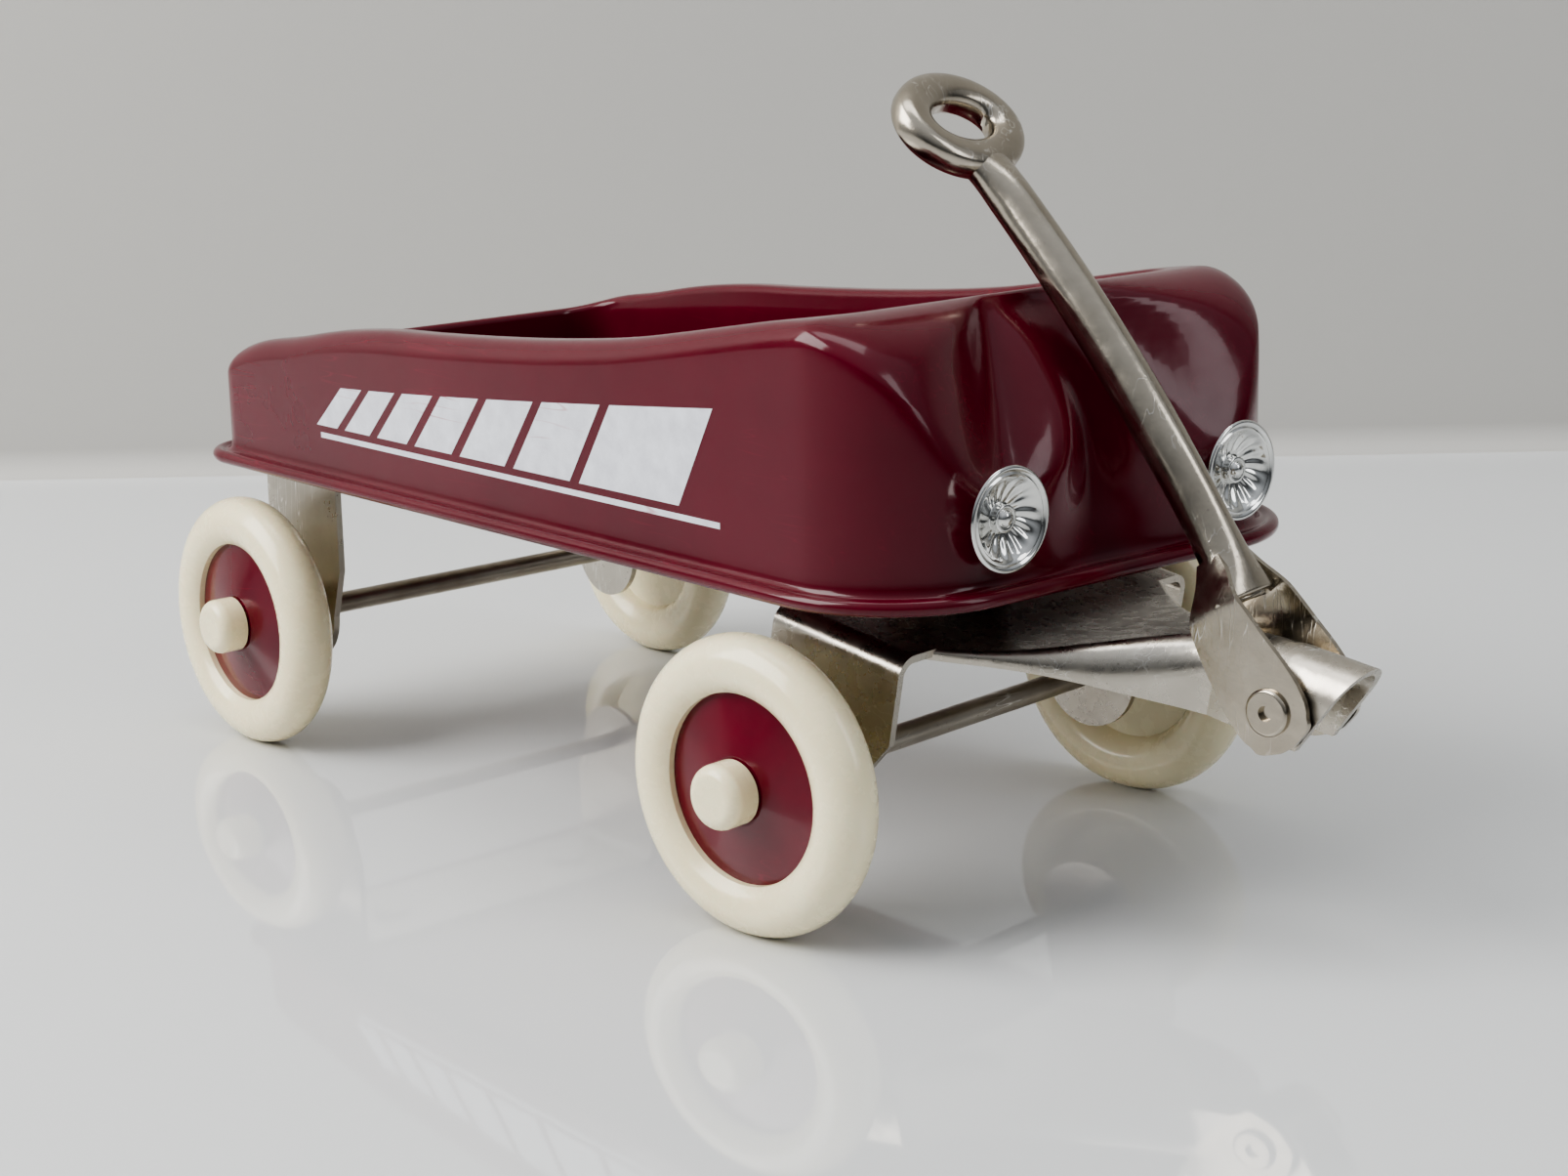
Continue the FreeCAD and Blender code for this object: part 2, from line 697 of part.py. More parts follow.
def make_kingpin():
    clinch_top = pad_top - sheet_t - size("end_float")
    clinch_low = clinch_top - size("clinch_washer_thickness")
    head_height = size("kingpin_head_height")
    pin = upright_pin("kingpin", [
        (size("kingpin_radius"), clinch_low - head_height, floor_top + head_height),
        (size("kingpin_head_radius"), floor_top, floor_top + head_height),
        (size("kingpin_head_radius") * 0.8, clinch_low - head_height, clinch_low),
    ])
    over_axle = Placement(Vector(front_axle_x, 0, 0), Rotation())
    subpart(pin, "kingpin_rivet", over_axle)
    clinch = upright_pin("clinch", [(size("clinch_washer_radius"), clinch_low, clinch_top)],
                         size("kingpin_radius"))
    subpart(clinch, "kingpin_clinch_washer", over_axle)
    spacer = upright_pin("spacer", [(size("steering_washer_radius"),
                                     web_z - size("steering_washer_thickness"), web_z)],
                         size("kingpin_radius"))
    subpart(spacer, "steering_washer", over_axle)


make_kingpin()

for hand, side in (("left", 1), ("right", -1)):
    head = size("rivet_head_height")
    rivet = upright_pin("bracket_rivet_" + hand, [
        (size("rivet_radius"), web_z - sheet_t - head, floor_top + head),
        (size("rivet_head_radius"), floor_top, floor_top + head),
        (size("rivet_head_radius"), web_z - sheet_t - head, web_z - sheet_t),
    ])
    subpart(rivet, "rear_bracket_rivet_" + hand,
            Placement(Vector(rear_axle_x, side * size("rear_rivet_spacing") / 2, 0), Rotation()))


# --------------------------------------------------------------------- handle

def handle_placement():
    """Local +Z runs up the handle from the hinge and +X out of its smooth face."""
    base = Placement(Vector(front_axle_x + hinge_ahead, 0, hinge_z),
                     Rotation(SIDE, 90 - size("handle_angle")))
    return steered(base)


lug_inner = size("nose_half_width") + size("lug_gap")
lug_outer = lug_inner + size("handle_sheet")


def make_lugs():
    """Two flat lugs that close in to the width of the shaft, cut to a tapered outline."""
    radius = size("lug_radius")
    thick = size("handle_sheet")
    waist = size("shaft_radius") - thick / 4
    bend_z = size("lug_length")
    top_z = size("shoulder_end")
    strap = [Vector(-radius, lug_inner, -radius), Vector(-radius, lug_outer, -radius),
             Vector(-radius, lug_outer, bend_z), Vector(-radius, waist, top_z),
             Vector(-radius, waist - thick, top_z), Vector(-radius, lug_inner, bend_z)]
    left = Part.Face(Part.makePolygon(strap + strap[:1])).extrude(Vector(2 * radius, 0, 0))
    right = left.mirror(Vector(), SIDE)
    outline = [Vector(-radius, -lug_outer, 0), Vector(radius, -lug_outer, 0),
               Vector(waist, -lug_outer, size("lug_front_taper")), Vector(waist, -lug_outer, top_z),
               Vector(-waist, -lug_outer, top_z), Vector(-radius, -lug_outer, bend_z)]
    plate = Part.Face(Part.makePolygon(outline + outline[:1])).extrude(Vector(0, 2 * lug_outer, 0))
    end = Part.makeCylinder(radius, 2 * lug_outer, Vector(0, -lug_outer, 0), SIDE)
    hole = Part.makeCylinder(size("hinge_radius"), 2 * HIGH, Vector(0, -HIGH, 0), SIDE)
    return left.fuse(right).common(plate.fuse(end)).cut(hole)


def swept_shaft(face):
    """Carry a face straight up from the shaft's mouth, then round its long bend."""
    straight_z = size("shaft_start")
    straight = face.extrude(Vector(0, 0, straight_z - size("shaft_mouth")))
    start = face.copy()
    start.translate(Vector(0, 0, straight_z - size("shaft_mouth")))
    centre = Vector(-size("shaft_bend_radius"), 0, straight_z)
    return straight.fuse(start.revolve(centre, Vector(0, -1, 0), size("shaft_bend")))


def make_shaft():
    mouth = Vector(0, 0, size("shaft_mouth"))
    outer = Part.Face(Part.Wire(Part.makeCircle(size("shaft_radius"), mouth)))
    inner = Part.Face(Part.Wire(Part.makeCircle(size("shaft_radius") - size("handle_sheet"), mouth)))
    half = size("seam_width") / 2
    back = -size("shaft_radius") - 1
    corners = [Vector(back, -half, mouth.z), Vector(0, -half, mouth.z),
               Vector(0, half, mouth.z), Vector(back, half, mouth.z)]
    seam = Part.Face(Part.makePolygon(corners + corners[:1]))
    return swept_shaft(outer).cut(swept_shaft(inner.fuse(seam)))


def oval(half_width, half_length, x):
    """An ellipse across the handle, facing along +X."""
    if half_width > half_length:
        ellipse = Part.Ellipse(Vector(0, half_width, 0), Vector(0, 0, half_length), Vector())
    else:
        ellipse = Part.Ellipse(Vector(0, 0, half_length), Vector(0, half_width, 0), Vector())
    ellipse.translate(Vector(x, 0, 0))
    return Part.Face(Part.Wire(ellipse.toShape()))


def make_grip():
    """An oval loop pressed from the same sheet, round on its face and open behind."""
    depth = size("grip_depth")
    thick = size("handle_sheet")
    width = size("grip_half_width")
    length = size("grip_half_length")
    hole_width = size("grip_hole_half_width")
    hole_length = size("grip_hole_half_length")

    def loop(inset, low, high, round_radius):
        outer = oval(width - inset, length - inset, low).extrude(Vector(high - low, 0, 0))
        hole = oval(hole_width + inset, hole_length + inset, low - 1).extrude(Vector(high - low + 2, 0, 0))
        ring = outer.cut(hole)
        edges = [edge for edge in ring.Edges
                 if edge.BoundBox.XLength < 0.01 and abs(edge.BoundBox.XMin - high) < 0.01]
        return ring.makeFillet(round_radius, edges)

    outside = loop(0, -depth / 2, depth / 2, size("grip_round"))
    inside = loop(thick, -depth / 2 - 1, depth / 2 - thick, size("grip_round") - thick)
    return outside.cut(inside)


def make_handle():
    turn = math.radians(size("shaft_bend"))
    bend = size("shaft_bend_radius")
    along = size("shaft_start") + bend * math.sin(turn)
    across = bend * math.cos(turn) - bend
    reach = size("grip_half_length") - size("grip_overlap")
    centre = Vector(across - reach * math.sin(turn), 0, along + reach * math.cos(turn))
    grip = make_grip()
    grip.Placement = Placement(centre, Rotation(SIDE, -size("shaft_bend")))
    return make_shaft().fuse(grip).fuse(make_lugs())


shaped("handle", make_handle(), handle_placement())


def make_handle_rivet():
    """A hollow rivet, rolled over outside each lug."""
    head = size("hinge_head_height")
    reach = lug_outer + head
    body = Part.makeCylinder(size("hinge_radius"), 2 * reach, Vector(0, -reach, 0), SIDE)
    for side in (-1, 1):
        start = Vector(0, side * lug_outer, 0)
        flange = Part.makeCylinder(size("hinge_head_radius"), head, start, SIDE * side)
        body = body.fuse(flange.makeFillet(head * 0.6, [
            edge for edge in flange.Edges
            if edge.BoundBox.XLength > 1 and abs(edge.BoundBox.YMin - side * reach) < 0.01
            and abs(edge.BoundBox.YMax - side * reach) < 0.01]))
    bore = Part.makeCylinder(size("hinge_radius") * 0.6, 2 * HIGH, Vector(0, -HIGH, 0), SIDE)
    return body.cut(bore)


shaped("handle_rivet", make_handle_rivet(), handle_placement())


# ------------------------------------------------------------ check and write

doc.recompute()
for obj in doc.Objects:
    if "Invalid" in obj.State or "Error" in obj.State:
        raise SystemExit("%s failed: %s" % (obj.Name, obj.State))
os.makedirs("parts", exist_ok=True)
for obj in SUBPARTS:
    if obj.Shape.isNull() or not obj.Shape.isValid():
        raise SystemExit("%s has no valid shape" % obj.Label)
    obj.Shape.exportStep("parts/%s.step" % obj.Label)
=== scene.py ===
import json
import math

import bpy
import numpy as np
from mathutils import Matrix, Vector


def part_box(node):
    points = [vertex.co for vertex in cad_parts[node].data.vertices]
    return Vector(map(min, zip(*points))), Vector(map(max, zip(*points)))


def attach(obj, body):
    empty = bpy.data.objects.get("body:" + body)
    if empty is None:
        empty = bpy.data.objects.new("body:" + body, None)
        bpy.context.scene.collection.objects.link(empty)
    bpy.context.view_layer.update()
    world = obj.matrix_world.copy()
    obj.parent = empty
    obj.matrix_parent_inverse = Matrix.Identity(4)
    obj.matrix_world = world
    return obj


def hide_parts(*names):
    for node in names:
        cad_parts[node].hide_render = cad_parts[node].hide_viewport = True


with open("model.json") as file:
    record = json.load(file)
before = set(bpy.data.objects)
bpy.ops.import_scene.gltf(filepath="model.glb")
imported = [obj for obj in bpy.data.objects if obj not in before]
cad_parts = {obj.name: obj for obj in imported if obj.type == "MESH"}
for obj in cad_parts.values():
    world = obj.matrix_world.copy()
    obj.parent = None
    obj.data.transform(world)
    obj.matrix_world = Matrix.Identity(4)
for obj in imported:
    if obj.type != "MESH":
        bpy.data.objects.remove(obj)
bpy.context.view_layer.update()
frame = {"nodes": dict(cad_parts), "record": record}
nodes = frame["nodes"]
MM = 0.001


# ------------------------------------------------------------------ materials

def group(name, inputs, outputs, build):
    """A shared node group: it hands out values, masks, colours or normals only."""
    tree = bpy.data.node_groups.new(name, "ShaderNodeTree")
    for label, kind, default in inputs:
        socket = tree.interface.new_socket(label, in_out="INPUT", socket_type=kind)
        socket.default_value = default
    for label, kind in outputs:
        tree.interface.new_socket(label, in_out="OUTPUT", socket_type=kind)
    start = tree.nodes.new("NodeGroupInput")
    end = tree.nodes.new("NodeGroupOutput")
    build(tree, start, end)
    return tree


def ramp(tree, source, low, high):
    """Zero at low, one at high."""
    node = tree.nodes.new("ShaderNodeMapRange")
    node.inputs["From Min"].default_value = low
    node.inputs["From Max"].default_value = high
    tree.links.new(source, node.inputs["Value"])
    return node.outputs["Result"]


def noise(tree, vector, scale, detail=3.0, roughness=0.5):
    node = tree.nodes.new("ShaderNodeTexNoise")
    node.inputs["Scale"].default_value = scale
    node.inputs["Detail"].default_value = detail
    node.inputs["Roughness"].default_value = roughness
    tree.links.new(vector, node.inputs["Vector"])
    return node.outputs["Fac"]


def math_node(tree, operation, first, second):
    node = tree.nodes.new("ShaderNodeMath")
    node.operation = operation
    for index, value in enumerate((first, second)):
        if isinstance(value, (int, float)):
            node.inputs[index].default_value = value
        else:
            tree.links.new(value, node.inputs[index])
    return node.outputs["Value"]


def build_scratches(tree, start, end):
    """Fine hairlines: thin bands of a stretched noise, broken up by a coarse one."""
    mapping = tree.nodes.new("ShaderNodeMapping")
    tree.links.new(start.outputs["Vector"], mapping.inputs["Vector"])
    tree.links.new(start.outputs["Stretch"], mapping.inputs["Scale"])
    tree.links.new(start.outputs["Turn"], mapping.inputs["Rotation"])
    lines = noise(tree, mapping.outputs["Vector"], 60.0, 2.0)
    off_middle = math_node(tree, "ABSOLUTE", math_node(tree, "SUBTRACT", lines, 0.5), 0.0)
    thin = ramp(tree, off_middle, 0.012, 0.0)
    patches = ramp(tree, noise(tree, start.outputs["Vector"], 55.0), 0.52, 0.66)
    tree.links.new(math_node(tree, "MULTIPLY", thin, patches), end.inputs["Mask"])


def build_stains(tree, start, end):
    """Broad cloudy patches, and a finer mottle."""
    broad = noise(tree, start.outputs["Vector"], 45.0, 4.0, 0.6)
    fine = noise(tree, start.outputs["Vector"], 420.0, 3.0, 0.6)
    tree.links.new(ramp(tree, broad, 0.35, 0.7), end.inputs["Broad"])
    tree.links.new(ramp(tree, fine, 0.3, 0.75), end.inputs["Fine"])


def build_speckle(tree, start, end):
    """Small round specks, gathered in patches."""
    cells = tree.nodes.new("ShaderNodeTexVoronoi")
    cells.inputs["Scale"].default_value = 900.0
    tree.links.new(start.outputs["Vector"], cells.inputs["Vector"])
    near = ramp(tree, cells.outputs["Distance"], 0.16, 0.08)
    patches = ramp(tree, noise(tree, start.outputs["Vector"], 120.0), 0.5, 0.62)
    tree.links.new(math_node(tree, "MULTIPLY", near, patches), end.inputs["Mask"])


SCRATCHES = group("scratches", [("Vector", "NodeSocketVector", (0, 0, 0)),
                                ("Stretch", "NodeSocketVector", (1, 1, 1)),
                                ("Turn", "NodeSocketVector", (0, 0, 0))],
                  [("Mask", "NodeSocketFloat")], build_scratches)
STAINS = group("stains", [("Vector", "NodeSocketVector", (0, 0, 0))],
               [("Broad", "NodeSocketFloat"), ("Fine", "NodeSocketFloat")], build_stains)
SPECKLE = group("speckle", [("Vector", "NodeSocketVector", (0, 0, 0))],
                [("Mask", "NodeSocketFloat")], build_speckle)


class Surface:
    """A material with one Principled shader and helpers that wire masks into it."""

    def __init__(self, name, color, metallic, roughness, **values):
        self.material = bpy.data.materials.new(name)
        self.material.use_nodes = True
        self.tree = self.material.node_tree
        self.shader = self.tree.nodes["Principled BSDF"]
        self.put("Base Color", (*color, 1.0))
        self.put("Metallic", metallic)
        self.put("Roughness", roughness)
        for label, value in values.items():
            self.put(label.replace("_", " "), value)
        self.coords = self.tree.nodes.new("ShaderNodeTexCoord").outputs["Object"]
        self.height = None

    def put(self, label, value):
        self.shader.inputs[label].default_value = value

    def use(self, shared, **settings):
        node = self.tree.nodes.new("ShaderNodeGroup")
        node.node_tree = shared
        self.tree.links.new(self.coords, node.inputs["Vector"])
        for label, value in settings.items():
            node.inputs[label].default_value = value
        return node

    def mix_color(self, mask, first, second):
        node = self.tree.nodes.new("ShaderNodeMix")
        node.data_type = "RGBA"
        self.tree.links.new(mask, node.inputs["Factor"])
        for socket, value in ((node.inputs["A"], first), (node.inputs["B"], second)):
            if isinstance(value, tuple):
                socket.default_value = (*value, 1.0)
            else:
                self.tree.links.new(value, socket)
        return node.outputs["Result"]

    def mix_value(self, mask, first, second):
        node = self.tree.nodes.new("ShaderNodeMapRange")
        node.inputs["To Min"].default_value = first
        node.inputs["To Max"].default_value = second
        self.tree.links.new(mask, node.inputs["Value"])
        return node.outputs["Result"]

    def link(self, source, label):
        self.tree.links.new(source, self.shader.inputs[label])

    def bump(self, mask, strength, distance):
        node = self.tree.nodes.new("ShaderNodeBump")
        node.inputs["Strength"].default_value = strength
        node.inputs["Distance"].default_value = distance
        self.tree.links.new(mask, node.inputs["Height"])
        if self.height is not None:
            self.tree.links.new(self.height, node.inputs["Normal"])
        self.height = node.outputs["Normal"]
        self.link(self.height, "Normal")


ENAMEL = (0.100, 0.0005, 0.0105)
ENAMEL_DEEP = (0.082, 0.0004, 0.0085)
DISC_ENAMEL = (0.135, 0.0006, 0.0130)
IVORY = (0.94, 0.86, 0.60)
NICKEL = (0.60, 0.565, 0.50)


def enamel(name, tint, deep, peel):
    """Glossy stoved paint with a thin clear coat, faint orange peel and hairlines."""
    surface = Surface(name, tint, 0.0, 0.16, Coat_Weight=0.22, Coat_Roughness=0.03)
    surface.put("Specular IOR Level", 0.30)
    stains = surface.use(STAINS)
    marks = surface.use(SCRATCHES, Stretch=(0.5, 6.0, 7.0), Turn=(0.2, 0.15, 0.3))
    color = surface.mix_color(stains.outputs["Broad"], deep, tint)
    faint = surface.mix_color(marks.outputs["Mask"], color, tuple(1.25 * part for part in tint))
    surface.link(faint, "Base Color")
    surface.link(surface.mix_value(stains.outputs["Fine"], 0.13, 0.22), "Roughness")
    surface.bump(stains.outputs["Broad"], peel, 0.0004)
    return surface.material


def plastic(name):
    """Ivory moulding, a little yellowed in patches."""
    surface = Surface(name, IVORY, 0.0, 0.24, Coat_Weight=0.35, Coat_Roughness=0.10,
                      Subsurface_Weight=0.12, Subsurface_Scale=0.002)
    stains = surface.use(STAINS)
    surface.link(surface.mix_color(stains.outputs["Broad"], (0.90, 0.80, 0.53), IVORY), "Base Color")
    surface.link(surface.mix_value(stains.outputs["Fine"], 0.20, 0.34), "Roughness")
    surface.bump(stains.outputs["Fine"], 0.06, 0.0002)
    return surface.material


def nickel(name, tint, dark, rough_low, rough_high, stretch, turn, brush=0.12):
    """Plated sheet, brushed one way, with tarnish and small dark specks."""
    surface = Surface(name, tint, 1.0, rough_low, Anisotropic=0.35)
    stains = surface.use(STAINS)
    marks = surface.use(SCRATCHES, Stretch=stretch, Turn=turn)
    specks = surface.use(SPECKLE)
    color = surface.mix_color(stains.outputs["Broad"], dark, tint)
    color = surface.mix_color(marks.outputs["Mask"], color, (0.86, 0.84, 0.80))
    surface.link(surface.mix_color(specks.outputs["Mask"], color, (0.30, 0.26, 0.22)), "Base Color")
    surface.link(surface.mix_value(stains.outputs["Fine"], rough_low, rough_high), "Roughness")
    surface.bump(marks.outputs["Mask"], brush, 0.0002)
    surface.bump(stains.outputs["Fine"], brush * 0.6, 0.00025)
    return surface.material


def print_ink(name):
    """White ink, dulled by wear, with a little enamel showing through its scratches."""
    surface = Surface(name, (0.72, 0.74, 0.80), 0.0, 0.38)
    stains = surface.use(STAINS)
    marks = surface.use(SCRATCHES, Stretch=(0.4, 5.0, 5.0), Turn=(0.1, 0.2, 0.1))
    color = surface.mix_color(stains.outputs["Fine"], (0.60, 0.61, 0.66), (0.74, 0.76, 0.82))
    surface.link(surface.mix_color(marks.outputs["Mask"], color, (0.42, 0.20, 0.23)), "Base Color")
    return surface.material


PRINT = print_ink("white_print")
ALONG_Y = (9.0, 1.0, 9.0)
ALONG_Z = (9.0, 9.0, 1.0)
MATERIALS = {
    "body_enamel": enamel("burgundy_enamel", ENAMEL, ENAMEL_DEEP, 0.10),
    "disc_enamel": enamel("disc_enamel", DISC_ENAMEL, ENAMEL_DEEP, 0.05),
    "tyre_plastic": plastic("ivory_plastic"),
    "plated_steel": nickel("satin_nickel", NICKEL, (0.42, 0.385, 0.33), 0.26, 0.40, ALONG_Z, (0, 0, 0)),
    "bracket_steel": nickel("bracket_nickel", NICKEL, (0.44, 0.40, 0.34), 0.22, 0.36, ALONG_Y, (0, 0.2, 0)),
    "handle_steel": nickel("handle_nickel", (0.52, 0.475, 0.40), (0.36, 0.32, 0.26), 0.15, 0.28,
                           ALONG_Z, (0, -0.57, 0)),
    "axle_steel": nickel("drawn_wire", (0.50, 0.46, 0.40), (0.30, 0.26, 0.21), 0.30, 0.48,
                         ALONG_Y, (0, 0, 0)),
    "lamp_plating": nickel("lamp_plating", (0.80, 0.80, 0.78), (0.62, 0.62, 0.60), 0.05, 0.16,
                           (4.0, 4.0, 4.0), (0, 0, 0), 0.05),
}
SLOTS = {part["node"]: part["material_slot"] for part in frame["record"]["subparts"]}


def smooth(obj, angle=35.0):
    """Smooth shading except across sharp edges."""
    mesh = obj.data
    mesh.polygons.foreach_set("use_smooth", [True] * len(mesh.polygons))
    mesh.set_sharp_from_angle(angle=math.radians(angle))


def paint(obj, name):
    obj.data.materials.clear()
    obj.data.materials.append(MATERIALS[name])


for node_name, node in nodes.items():
    paint(node, SLOTS[node_name])


def add_piece(name, points, faces, body, slot_name, *replaced, angle=35.0):
    """A mesh from points in millimetres that rides on a body and may stand for CAD nodes."""
    mesh = bpy.data.meshes.new(name)
    mesh.from_pydata([tuple(float(c) * MM for c in point) for point in points], [], faces)
    obj = bpy.data.objects.new(name, mesh)
    bpy.context.scene.collection.objects.link(obj)
    smooth(obj, angle)
    paint(obj, slot_name)
    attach(obj, body)
    if replaced:
        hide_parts(*replaced)
    return obj


def grid_faces(rows, columns, closed=True):
    """Quads between rows of points; closed joins each row's end to its start."""
    faces = []
    for row in range(rows - 1):
        for column in range(columns if closed else columns - 1):
            following = (column + 1) % columns
            low = row * columns
            faces.append((low + column, low + following,
                          low + columns + following, low + columns + column))
    return faces


def curve_through(knots, values, at):
    """A smooth curve through the knots (Catmull-Rom), read at the given places."""
    knots = np.array(knots, float)
    values = np.array(values, float)
    at = np.clip(np.atleast_1d(np.array(at, float)), knots[0], knots[-1])
    slopes = np.gradient(values, knots, axis=0)
    index = np.clip(np.searchsorted(knots, at, side="right") - 1, 0, len(knots) - 2)
    gap = knots[index + 1] - knots[index]
    part = (at - knots[index]) / gap
    if values.ndim > 1:
        part, gap = part[:, None], gap[:, None]
    return (values[index] * (2 * part ** 3 - 3 * part ** 2 + 1)
            + slopes[index] * gap * (part ** 3 - 2 * part ** 2 + part)
            + values[index + 1] * (3 * part ** 2 - 2 * part ** 3)
            + slopes[index + 1] * gap * (part ** 3 - part ** 2))


def step_up(value, low, high):
    """A smooth step from zero at low to one at high."""
    part = np.clip((np.asarray(value, float) - low) / (high - low), 0, 1)
    return part * part * (3 - 2 * part)


# ------------------------------------------------------- the handle's place

JOINTS = {joint["name"]: joint for joint in frame["record"]["behaviour"]["joints"]}
HINGE = np.array(JOINTS["handle_swing"]["pos_m"]) / MM
STEER = math.atan2(-JOINTS["handle_swing"]["axis"][0], JOINTS["handle_swing"]["axis"][1])
LEAN = math.radians(122.9)
BEND_START = 19.0
BEND_RADIUS = 275.0
BEND_END = math.radians(12.0)
SHAFT_RADIUS = 3.0
SHAFT_GAP = 0.5
SHAFT_SHEET = 0.7
MOUTH = 13.7
GRIP_LAP = 0.8
GRIP_CENTRE = 7.0
KINGPIN_X = JOINTS["steering_turn"]["pos_m"][0] / MM


def on_shaft(distance):
    """Centre of the shaft, and its direction, at a distance along it."""
    turn = max(distance - BEND_START, 0.0) / BEND_RADIUS
    if turn <= 0:
        return np.array([0.0, 0.0, distance]), 0.0
    return np.array([BEND_RADIUS * (math.cos(turn) - 1), 0.0,
                     BEND_START + BEND_RADIUS * math.sin(turn)]), turn


def sweep_ahead(heights):
    """How far ahead of the kingpin the raised shaft's wagon side comes, at each height."""
    hinge_ahead = math.hypot(HINGE[0] - KINGPIN_X, HINGE[1])
    reached, ahead = [], []
    for distance in np.arange(BEND_START, BEND_START + BEND_RADIUS * BEND_END):
        centre, turn = on_shaft(distance)
        back = centre - (SHAFT_RADIUS + SHAFT_GAP) * np.array([math.cos(turn), 0, math.sin(turn)])
        reached.append(HINGE[2] - back[0] * math.cos(LEAN) + back[2] * math.sin(LEAN))
        ahead.append(hinge_ahead + back[0] * math.sin(LEAN) + back[2] * math.cos(LEAN))
    return np.interp(heights, reached, ahead)


# -------------------------------------------------------------------- the bed

shell_low, shell_high = [np.array(corner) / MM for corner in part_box("bed_shell")]
FLANGE = 3.0
BEAD = 1.0
BED_REAR = shell_low[0] + FLANGE
BED_FRONT = shell_high[0] - FLANGE
BED_HALF = shell_high[1] - FLANGE
CREST = shell_high[2]
FLANGE_Z = shell_low[2]
FLOOR_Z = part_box("bed_floor")[1][2] / MM
REAR_CORNER = 6.0
INNER_CORNER = 7.0
LEAST_CORNER = 1.2
SIDE_ROUND = 3.2
INNER_ROUND = 1.3
WALL_START = 3.6
ROLL = 15.5
SEAM = BED_FRONT - ROLL
RIM = 6.0
HOOD = 17.0
# The rim's height, in steps along the bed from its rear.
ALONG = np.array([0, 4.5, 10, 21, 32, 44, 56, 71, 85, 101, 113, 121, 128, 135.5, 200])
RIM_Z = np.array([58.2, 59.6, 61.3, 63.1, 65.0, 66.3, 66.9, 67.8, 68.9, 70.7, 72.7, 74.1, 75.3, 76.3,
                  76.4])


def rim_height(x):
    """Height of the rim along the bed, then the roll of the hood."""
    height = curve_through(ALONG, RIM_Z, x - BED_REAR)
    forward = np.clip((x - SEAM) / ROLL, 0, 1)
    return np.minimum(height, CREST) - 1.2 * ROLL * (1 - np.sqrt(np.maximum(1 - forward ** 2, 0)))


def plan_points(rear, front, half, rear_corner, front_corner):
    """Points round a rounded rectangle, and how far each has turned to face forward."""
    straight_side = np.linspace(0, 1, 60)[1:-1]
    straight_end = np.linspace(0, 1, 26)[1:-1]
    arc_count = 22
    points, facing = [], []

    def arc(cx, cy, radius, start, turned):
        for angle, turn in zip(np.radians(np.linspace(start, start + 90, arc_count)), turned):
            points.append((cx + radius * math.cos(angle), cy + radius * math.sin(angle)))
            facing.append(turn)

    def line(first, last, places, value):
        for place in places:
            points.append((first[0] + (last[0] - first[0]) * place,
                           first[1] + (last[1] - first[1]) * place))
            facing.append(value)

    rise = np.linspace(0, 1, arc_count)
    none = np.zeros(arc_count)
    arc(front - front_corner, half - front_corner, front_corner, 0, 1 - rise)
    line((front - front_corner, half), (rear + rear_corner, half), straight_side, 0.0)
    arc(rear + rear_corner, half - rear_corner, rear_corner, 90, none)
    line((rear, half - rear_corner), (rear, -half + rear_corner), straight_end, 0.0)
    arc(rear + rear_corner, -half + rear_corner, rear_corner, 180, none)
    line((rear + rear_corner, -half), (front - front_corner, -half), straight_side, 0.0)
    arc(front - front_corner, -half + front_corner, front_corner, 270, rise)
    line((front, -half + front_corner), (front, half - front_corner), straight_end, 1.0)
    return np.array(points), np.array(facing)


def bed_ring(side_inset, front_inset):
    """One level of the bed in plan, set in from its walls; the corners change on the way in."""
    inner_side = RIM - 2
    rear_corner = max(REAR_CORNER - side_inset, LEAST_CORNER)
    front_corner = max(ROLL - 0.5 * (side_inset + front_inset), INNER_CORNER)
    if side_inset > inner_side:
        rear_corner = INNER_CORNER
        front_corner = INNER_CORNER
    elif side_inset > 0:
        rear_corner = REAR_CORNER + step_up(side_inset, 0, inner_side) * (INNER_CORNER - REAR_CORNER)
    return plan_points(BED_REAR + side_inset, BED_FRONT - front_inset, BED_HALF - side_inset,
                       rear_corner, front_corner)


SWEEP_Z = [50, 60, 65, 70, 75, 80]
SWEEP_AHEAD = sweep_ahead(SWEEP_Z)
SWEEP_MARGIN = 0.35


def shape_hood(points):
    """Press the valley between the two cheeks and keep clear of the handle's sweep."""
    x, y, z = points.T.copy()
    heights = [42, 47, 52, 58, 64, 70, 77]
    weight = step_up(x, SEAM - 1.0, SEAM + 8.0)
    depth = curve_through(heights, [0.0, 1.0, 2.4, 3.6, 4.3, 5.0, 5.4], z)
    width = curve_through(heights, [9.5, 8.4, 6.6, 5.2, 5.6, 8.6, 12.5], z)
    x = x - weight * depth * np.exp(-(y / width) ** 2)
    reach = np.hypot(x - KINGPIN_X, y)
    turn = np.degrees(np.arctan2(np.abs(y), np.maximum(x - KINGPIN_X, 0.01)))
    limit = np.interp(z, SWEEP_Z, SWEEP_AHEAD) - SWEEP_MARGIN + 26.0 * step_up(turn, 30.0, 66.0)
    soft = 0.7
    nearer = np.minimum(reach, limit) - soft * np.log1p(np.exp(-np.abs(reach - limit) / soft))
    share = step_up(z, 52.0, 58.0) * step_up(x, KINGPIN_X + 8.0, KINGPIN_X + 12.0)
    scale = 1.0 + share * (nearer / np.maximum(reach, 1e-6) - 1.0)
    x = KINGPIN_X + (x - KINGPIN_X) * scale
    y = y * scale
    return np.column_stack([x, y, z])


